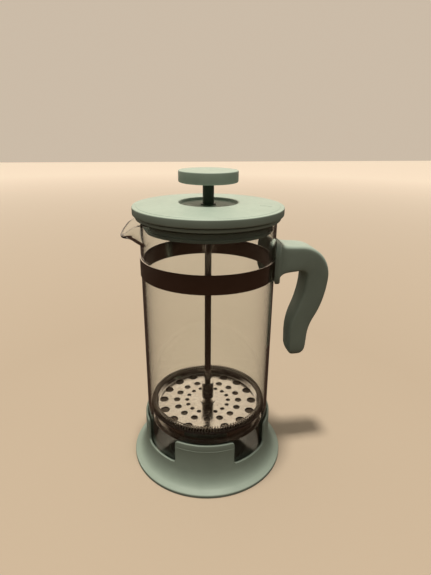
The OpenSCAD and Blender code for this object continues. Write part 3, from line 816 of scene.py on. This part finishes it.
# ---------------------------------------------------------------- Lid
# Two sage mouldings: a shallow domed cover with a recess for the knob and a short
# engraved pouring mark, and the collar under it that plugs the glass.
cover_low, cover_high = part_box("lid_cover")
collar_low, collar_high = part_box("lid_collar")
lid_r = cover_high.x
lid_high = cover_high.z
lid_low = cover_low.z
recess_z = lid_high - 2 * mm
under_z = recess_z - 2.5 * mm
recess_r = 21.1 * mm
bush_r = 4.25 * mm
mark_bearing = math.radians(-22.5)
mark_start = 36.8 * mm
mark_end = 45 * mm
step_r = lid_r - 3 * mm
step_up = 0.3 * mm
dome_slope = (recess_z + step_up - lid_high) / (step_r - recess_r)


def dome_at(r):
    """Height of the lid's top at this distance from its middle."""
    return lid_high + (r - recess_r) * dome_slope


lid_steps = 360
lid_top = turned(
    "lid_top",
    ring_outline(
        [
            (bush_r, under_z, 0),
            (bush_r, recess_z, 0.2 * mm),
            (recess_r - 0.8 * mm, recess_z, 0.35 * mm),
            (recess_r, lid_high, 0.5 * mm),
            (step_r, recess_z + step_up, 0.15 * mm),
            (step_r + 0.25 * mm, recess_z, 0.15 * mm),
            (lid_r, recess_z, 0.7 * mm),
            (lid_r, lid_low, 1.2 * mm),
            (lid_r - 2 * mm, lid_low, 0.4 * mm),
            (lid_r - 2 * mm, under_z, 0.8 * mm),
        ]
    ),
    lid_steps,
)
bpy.ops.object.select_all(action="DESELECT")
bpy.ops.mesh.primitive_cube_add(size=1)
mark = bpy.context.object
bpy.ops.object.mode_set(mode="EDIT")
bpy.ops.transform.resize(value=(mark_end - mark_start, 0.5 * mm, 2 * mm))
bpy.ops.transform.translate(value=((mark_end + mark_start) / 2, 0, dome_at(mark_end) + 0.5 * mm))
bpy.ops.object.mode_set(mode="OBJECT")
swung(mark, mark_bearing)
cut_out(lid_top, mark)
finished(lid_top, sage_plastic, "sage_plastic", "lid", "lid_cover", sharp=30)

seat_z = rim_z + 0.2 * mm
collar_r = 45.5 * mm
collar_t = 2 * mm
bead = 0.8 * mm
flange_r = collar_high.x
flange_top = seat_z + 2.3 * mm


def beads(radius, heights):
    """Corners that draw a half-round bead round a wall at each height, from the lowest up."""
    corners = []
    for z in heights:
        corners += [(radius, z - bead, 0), (radius + bead, z - bead / 2, 0.5 * mm)]
        corners += [(radius + bead, z + bead / 2, 0.5 * mm), (radius, z + bead, 0)]
    return corners


collar_line = [(collar_r - collar_t, collar_low.z, 0), (collar_r, collar_low.z, 0.5 * mm)]
collar_line += beads(collar_r, (collar_low.z + 2 * mm, seat_z - 2 * mm))
collar_line += [
    (collar_r, seat_z, 0.1 * mm),
    (flange_r, seat_z, 0.6 * mm),
    (flange_r, flange_top, 0.6 * mm),
    (collar_r, flange_top, 0.3 * mm),
    (collar_r, under_z, 0),
    (collar_r - collar_t, under_z, 0),
]
lid_collar = turned("lid_collar_ring", ring_outline(collar_line), 180)

slot_cutters = []
slot_count = 7
slot_pitch = math.radians(5)
for i in range(slot_count):
    bpy.ops.object.select_all(action="DESELECT")
    bpy.ops.mesh.primitive_cube_add(size=1)
    cutter = bpy.context.object
    bpy.ops.object.mode_set(mode="EDIT")
    bpy.ops.transform.resize(value=(3 * collar_t, 2 * mm, seat_z - collar_low.z - 2.4 * mm))
    bpy.ops.mesh.bevel(offset=0.7 * mm, segments=3, affect="EDGES")
    bpy.ops.object.mode_set(mode="OBJECT")
    bearing = mark_bearing + (i - (slot_count - 1) / 2) * slot_pitch
    swung(cutter, bearing, collar_r, (seat_z + collar_low.z) / 2)
    slot_cutters.append(cutter)
cut_out(lid_collar, *slot_cutters)
finished(lid_collar, sage_plastic, "sage_plastic", "lid", "lid_collar")

# ---------------------------------------------------------------- Bush and clip
# A bush pressed through the lid keeps the rod upright, and a sprung steel ring
# pushed on from below holds it there. The dark green of the bush and of the knob's
# sleeve is painted shade: it stands in for the shade that falls under the knob.
# Painted shade: this dark green stands in for the shade that falls under the knob.
knob_shade_green = (0.031, 0.053, 0.034)
knob_shade_green_pale = (0.04, 0.066, 0.043)
dark_plastic = moulded_plastic("dark_plastic", knob_shade_green, knob_shade_green_pale, 0.45)
rod_r = 2.5 * mm
bush_low, bush_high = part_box("rod_bush")
bush_hole = rod_r + 0.05 * mm
bush = turned(
    "bush",
    ring_outline(
        [
            (bush_hole, bush_low.z, 0),
            (4.2 * mm, bush_low.z, 0.4 * mm),
            (4.2 * mm, recess_z + 0.05 * mm, 0.05 * mm),
            (bush_high.x, recess_z + 0.05 * mm, 0.15 * mm),
            (bush_high.x, bush_high.z, 0.3 * mm),
            (bush_hole, bush_high.z, 0.2 * mm),
        ]
    ),
    96,
)
finished(bush, dark_plastic, "dark_plastic", "guide", "rod_bush")

spring_steel = steel_finish("spring_steel", (0.5, 0.45, 0.39), (0.62, 0.57, 0.5), 0.36, (1, 1, 1))
clip_low, clip_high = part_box("bush_clip")
clip = turned(
    "clip",
    ring_outline(
        [
            (4.25 * mm, clip_low.z, 0),
            (5.4 * mm, clip_low.z, 0.2 * mm),
            (5.8 * mm, clip_low.z + 0.35 * mm, 0.2 * mm),
            (clip_high.x, clip_low.z + 0.35 * mm, 0.2 * mm),
            (clip_high.x, clip_high.z, 0.2 * mm),
            (4.25 * mm, clip_high.z, 0.2 * mm),
        ]
    ),
    72,
)
finished(clip, spring_steel, "spring_steel", "guide", "bush_clip")

# ---------------------------------------------------------------- Knob
# A flat sage disc with a brass insert moulded in, on a sleeve that covers
# the end of the rod. The sleeve's dark green is painted shade from under the disc.
knob_low, knob_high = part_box("knob_disc")
insert_low, insert_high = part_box("knob_insert")
knob_r = knob_high.x
knob = turned(
    "knob",
    filleted(
        [
            (0, insert_high.z, 0),
            (insert_high.x, insert_high.z, 0.2 * mm),
            (insert_high.x, knob_low.z, 0.3 * mm),
            (knob_r, knob_low.z, 1.2 * mm),
            (knob_r, knob_high.z, 0.7 * mm),
            (knob_r - 6 * mm, knob_high.z, 0),
            (0, knob_high.z, 0),
        ]
    ),
)
finished(knob, sage_plastic, "sage_plastic", "rod", "knob_disc")

stem_low, stem_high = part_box("knob_stem")
stem = turned(
    "stem",
    ring_outline(
        [
            (rod_r, stem_low.z, 0),
            (stem_high.x, stem_low.z, 0.35 * mm),
            (stem_high.x, stem_high.z, 0.1 * mm),
            (rod_r, stem_high.z, 0.1 * mm),
        ]
    ),
    96,
)
finished(stem, dark_plastic, "dark_plastic", "rod", "knob_stem")


def brass_finish():
    """Turned brass with fine tool marks and a dull bloom."""
    finish, tree, shader = new_finish("insert_brass")
    shader.inputs["Metallic"].default_value = 1
    bloom = ranged(tree, grain(tree, 300, 4), 0.4, 0.7, 0, 1)
    tree.links.new(toned(tree, bloom, (0.62, 0.42, 0.17), (0.45, 0.3, 0.13)), shader.inputs["Base Color"])
    roughness = ranged(tree, grain(tree, 900, 3, (1, 1, 8)), 0.3, 0.7, 0.22, 0.42)
    tree.links.new(roughness, shader.inputs["Roughness"])
    tree.links.new(bumped(tree, grain(tree, 1500, 2, (1, 1, 10)), 0.02 * mm, 0.4), shader.inputs["Normal"])
    return finish


insert_brass = brass_finish()
insert = turned(
    "insert",
    filleted(
        [
            (0, insert_high.z, 0),
            (insert_high.x, insert_high.z, 0.3 * mm),
            (insert_high.x, insert_low.z, 0.3 * mm),
            (rod_r + 0.5 * mm, insert_low.z, 0.2 * mm),
            (rod_r, insert_low.z + 0.5 * mm, 0.1 * mm),
            (rod_r, insert_high.z - 1 * mm, 0),
            (0, insert_high.z - 1 * mm, 0),
        ]
    ),
    72,
)
finished(insert, insert_brass, "insert_brass", "rod", "knob_insert")

# ---------------------------------------------------------------- Rod
# A ground stainless rod, chamfered at both ends, with a rolled thread at each end.
rod_low, rod_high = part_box("plunger_rod")
thread_depth = 0.2 * mm


def thread(z0, z1, pitch=0.8 * mm):
    """Corners of a run of thread ridges on the rod, from z0 up to z1."""
    corners = []
    for i in range(int((z1 - z0) / pitch)):
        corners += [(rod_r - thread_depth, z0 + i * pitch, 0), (rod_r, z0 + (i + 0.5) * pitch, 0.1 * mm)]
    return corners


rod = turned(
    "rod",
    filleted(
        [(0, rod_low.z, 0), (rod_r - 0.4 * mm, rod_low.z, 0.1 * mm)]
        + thread(rod_low.z + 0.4 * mm, rod_low.z + 9 * mm)
        + [(rod_r, rod_low.z + 10 * mm, 0), (rod_r, rod_high.z - 5 * mm, 0)]
        + thread(rod_high.z - 4.6 * mm, rod_high.z - 0.4 * mm)
        + [(rod_r - 0.4 * mm, rod_high.z, 0.1 * mm), (0, rod_high.z, 0)],
        3,
    ),
    64,
)
finished(rod, polished_steel, "polished_steel", "rod", "plunger_rod")

# ---------------------------------------------------------------- Hub
# A turned steel nut, chamfered and finely grooved, that screws down on the plates
# over a plain washer and locks the rod to them.
pressed_steel = steel_finish(
    "pressed_steel", (0.6, 0.57, 0.53), (0.7, 0.67, 0.63), 0.14, (1, 1, 1), 0.008, 0.2
)
hub_low, hub_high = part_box("hub_sleeve")
hub_r = hub_high.x
neck_r = 3.1 * mm
hole_r = rod_r + 0.05 * mm
hub_facets = 96
hub = turned(
    "hub",
    ring_outline(
        [
            (hole_r, hub_low.z, 0),
            (neck_r, hub_low.z, 0.1 * mm),
            (neck_r, hub_low.z + 1.6 * mm, 0.3 * mm),
            (hub_r - 0.5 * mm, hub_low.z + 2.2 * mm, 0.2 * mm),
            (hub_r, hub_low.z + 2.8 * mm, 0.2 * mm),
            (hub_r, hub_high.z - 0.9 * mm, 0.2 * mm),
            (hub_r - 0.9 * mm, hub_high.z, 0.2 * mm),
            (hole_r, hub_high.z, 0.2 * mm),
        ]
    ),
    hub_facets,
)
groove_every = 4


def grooved(f):
    """True for every fourth upright face of the hub's barrel."""
    middle = f.calc_center_median()
    facet = round(math.atan2(middle.y, middle.x) / (2 * math.pi) * hub_facets - 0.5)
    upright = math.hypot(middle.x, middle.y) > hub_r * 0.99
    return upright and facet % groove_every == 0 and hub_low.z + 3 * mm < middle.z < hub_high.z - mm


alone(hub)
bpy.ops.object.mode_set(mode="EDIT")
pick("faces", grooved)
bpy.ops.mesh.inset(thickness=0.05 * mm, depth=-0.16 * mm, use_individual=True)
bpy.ops.object.mode_set(mode="OBJECT")
finished(hub, pressed_steel, "pressed_steel", "filter", "hub_sleeve")

washer_low, washer_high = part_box("hub_washer")
washer = turned(
    "washer",
    ring_outline(
        [
            (hole_r, washer_low.z, 0),
            (washer_high.x, washer_low.z, 0.15 * mm),
            (washer_high.x, washer_high.z, 0.25 * mm),
            (hole_r, washer_high.z, 0.15 * mm),
        ]
    ),
    96,
)
finished(washer, pressed_steel, "pressed_steel", "filter", "hub_washer")

# ---------------------------------------------------------------- Spring plate
# A polished stainless pressing with three rings of sixteen punched holes, its edge
# turned up to carry the coil.
plate_low, plate_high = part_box("spring_plate")
plate_t = 0.8 * mm
plate_z = plate_low.z + plate_t
rim_r = plate_high.x
plate = turned(
    "plate",
    ring_outline(
        [
            (hole_r, plate_low.z, 0),
            (rim_r - 2.6 * mm, plate_low.z, 0.8 * mm),
            (rim_r, plate_low.z + 3.2 * mm, 0.9 * mm),
            (rim_r, plate_high.z, 0.3 * mm),
            (rim_r - plate_t, plate_high.z, 0.3 * mm),
            (rim_r - plate_t, plate_low.z + 3.6 * mm, 0.9 * mm),
            (rim_r - 3.2 * mm, plate_z, 0.8 * mm),
            (hole_r, plate_z, 0),
        ]
    ),
    192,
)


def punched(piece, rings, count, facets, depth, z):
    """Punches rings of round holes: each ring is its radius, its holes' radius and its first bearing."""
    punches = []
    for ring_r, punch_r, first in rings:
        for i in range(count):
            bearing = first + 2 * math.pi * i / count
            bpy.ops.object.select_all(action="DESELECT")
            bpy.ops.mesh.primitive_cylinder_add(
                vertices=facets,
                radius=punch_r * mm,
                depth=depth,
                location=(ring_r * mm * math.cos(bearing), ring_r * mm * math.sin(bearing), z),
            )
            punches.append(bpy.context.object)
    cut_out(piece, *punches)


hole_turn = math.radians(12.5)
plate_rings = ((17.1, 1.7, hole_turn), (25.6, 2.65, hole_turn), (36.6, 3.6, hole_turn))
punched(plate, plate_rings, 16, 36, 6 * plate_t, plate_z)
alone(plate)
bpy.ops.object.mode_set(mode="EDIT")


def punched_edge(e):
    """True for an edge of the plate's top that runs round a punched hole."""
    if any(abs(v.co.z - plate_z) > tiny for v in e.verts) or len(e.link_faces) != 2:
        return False
    return any(abs(f.normal.z) < 0.1 for f in e.link_faces)


pick("edges", lambda e: punched_edge(e) and math.hypot(*e.verts[0].co.xy) > 5 * mm)
bpy.ops.mesh.bevel(offset=0.18 * mm, segments=2, affect="EDGES")
bpy.ops.object.mode_set(mode="OBJECT")
finished(plate, pressed_steel, "pressed_steel", "filter", "spring_plate", sharp=16)

# ---------------------------------------------------------------- Coil
# Hard-drawn stainless wire wound in a close fine coil, its ends joined in a ring
# that presses the screen outwards against the glass.
coil_low, coil_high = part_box("coil_spring")
wire_r = 0.42 * mm
coil_r = (coil_high.z - coil_low.z) / 2 - wire_r
coil_z = (coil_high.z + coil_low.z) / 2
coil_ring_r = coil_high.x - coil_r - wire_r
coil_turns = 132
coil_points = 18
wire = bpy.data.curves.new("coil", "CURVE")
wire.dimensions = "3D"
wire.bevel_depth = wire_r
wire.bevel_resolution = 1
spline = wire.splines.new("POLY")
spline.points.add(coil_turns * coil_points - 1)
for i, point in enumerate(spline.points):
    turn = 2 * math.pi * i / coil_points
    bearing = turn / coil_turns
    out = coil_ring_r + coil_r * math.cos(turn)
    point.co = (out * math.cos(bearing), out * math.sin(bearing), coil_z + coil_r * math.sin(turn), 1)
spline.use_cyclic_u = True
coil = bpy.data.objects.new("coil", wire)
bpy.context.scene.collection.objects.link(coil)
alone(coil)
bpy.ops.object.convert(target="MESH")
coil = bpy.context.object
finished(coil, spring_steel, "spring_steel", "filter", "coil_spring", sharp=80)

# ---------------------------------------------------------------- Screen
# Plain-woven stainless wire cloth, about forty wires to the centimetre, cut in a
# disc and turned up round the coil.
screen_low, screen_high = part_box("mesh_screen")
screen_t = 0.35 * mm
filter_r = screen_high.x
turn_r = rim_r - plate_t - 0.8 * mm


def woven_finish():
    """Fine wire cloth: wires over and under in two directions, with painted shade darkening the gaps
    between them.
    """
    finish, tree, shader = new_finish("woven_steel")
    shader.inputs["Metallic"].default_value = 1
    place = tree.nodes.new("ShaderNodeTexCoord").outputs["Object"]
    waves = []
    for direction in ("X", "Y", "Z"):
        wave = tree.nodes.new("ShaderNodeTexWave")
        wave.bands_direction = direction
        wave.inputs["Scale"].default_value = 640
        wave.inputs["Distortion"].default_value = 0.15
        tree.links.new(place, wave.inputs["Vector"])
        waves.append(wave.outputs["Fac"])
    flat = reckoned(tree, "MULTIPLY", waves[0], waves[1])
    cloth = reckoned(tree, "MAXIMUM", flat, ranged(tree, waves[2], 0, 1, 0, 0.5))
    # Painted shade: the gaps between the wires are painted dark, for the shade seen through them.
    colour = toned(tree, cloth, (0.1, 0.085, 0.07), (0.5, 0.45, 0.4))
    stain = ranged(tree, grain(tree, 120, 5), 0.45, 0.7, 0, 0.5)
    tree.links.new(toned(tree, stain, colour, (0.16, 0.11, 0.07)), shader.inputs["Base Color"])
    tree.links.new(ranged(tree, cloth, 0, 1, 0.6, 0.32), shader.inputs["Roughness"])
    tree.links.new(bumped(tree, cloth, 0.12 * mm, 0.6), shader.inputs["Normal"])
    return finish


screen_edge = coil_z - 0.6 * mm
screen = turned(
    "screen",
    ring_outline(
        [
            (hole_r, screen_low.z, 0),
            (turn_r, screen_low.z, 1 * mm),
            (filter_r, coil_low.z - 0.2 * mm, 1.4 * mm),
            (filter_r, screen_edge, 0.1 * mm),
            (filter_r - screen_t, screen_edge, 0.1 * mm),
            (filter_r - screen_t, coil_low.z, 1.2 * mm),
            (turn_r - screen_t, screen_low.z + screen_t, 1 * mm),
            (hole_r, screen_low.z + screen_t, 0),
        ]
    ),
    192,
)
finished(screen, woven_finish(), "woven_steel", "filter", "mesh_screen")

# ---------------------------------------------------------------- Cross plate
# The stiff lower pressing: a disc with large openings, a rim turned down and a
# narrow flange turned out again at its foot.
cross_low, cross_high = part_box("cross_plate")
cross_rim_r = rim_r - plate_t - 0.8 * mm
cross = turned(
    "cross_plate_pressing",
    ring_outline(
        [
            (hole_r, cross_high.z - plate_t, 0),
            (cross_rim_r - plate_t, cross_high.z - plate_t, 0.8 * mm),
            (cross_rim_r - plate_t, cross_low.z, 0.4 * mm),
            (cross_high.x, cross_low.z, 0.3 * mm),
            (cross_high.x, cross_low.z + plate_t, 0.3 * mm),
            (cross_rim_r, cross_low.z + plate_t, 0.4 * mm),
            (cross_rim_r, cross_high.z, 1 * mm),
            (hole_r, cross_high.z, 0),
        ]
    ),
    192,
)
cross_count = 8
cross_rings = ((29, 7, 0), (16, 3, math.pi / cross_count))
punched(cross, cross_rings, cross_count, 48, 4 * plate_t, cross_high.z - plate_t / 2)
finished(cross, pressed_steel, "pressed_steel", "filter", "cross_plate", sharp=16)

# ---------------------------------------------------------------- Small fastenings
# The screw and square nut that draw the band's ears together, and the hexagonal
# nut under the plates, are plain stainless and are left as they are made.
for node in ("handle_screw", "clamp_nut", "lock_nut"):
    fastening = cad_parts[node]
    fastening.data.materials.clear()
    fastening.data.materials.append(pressed_steel)
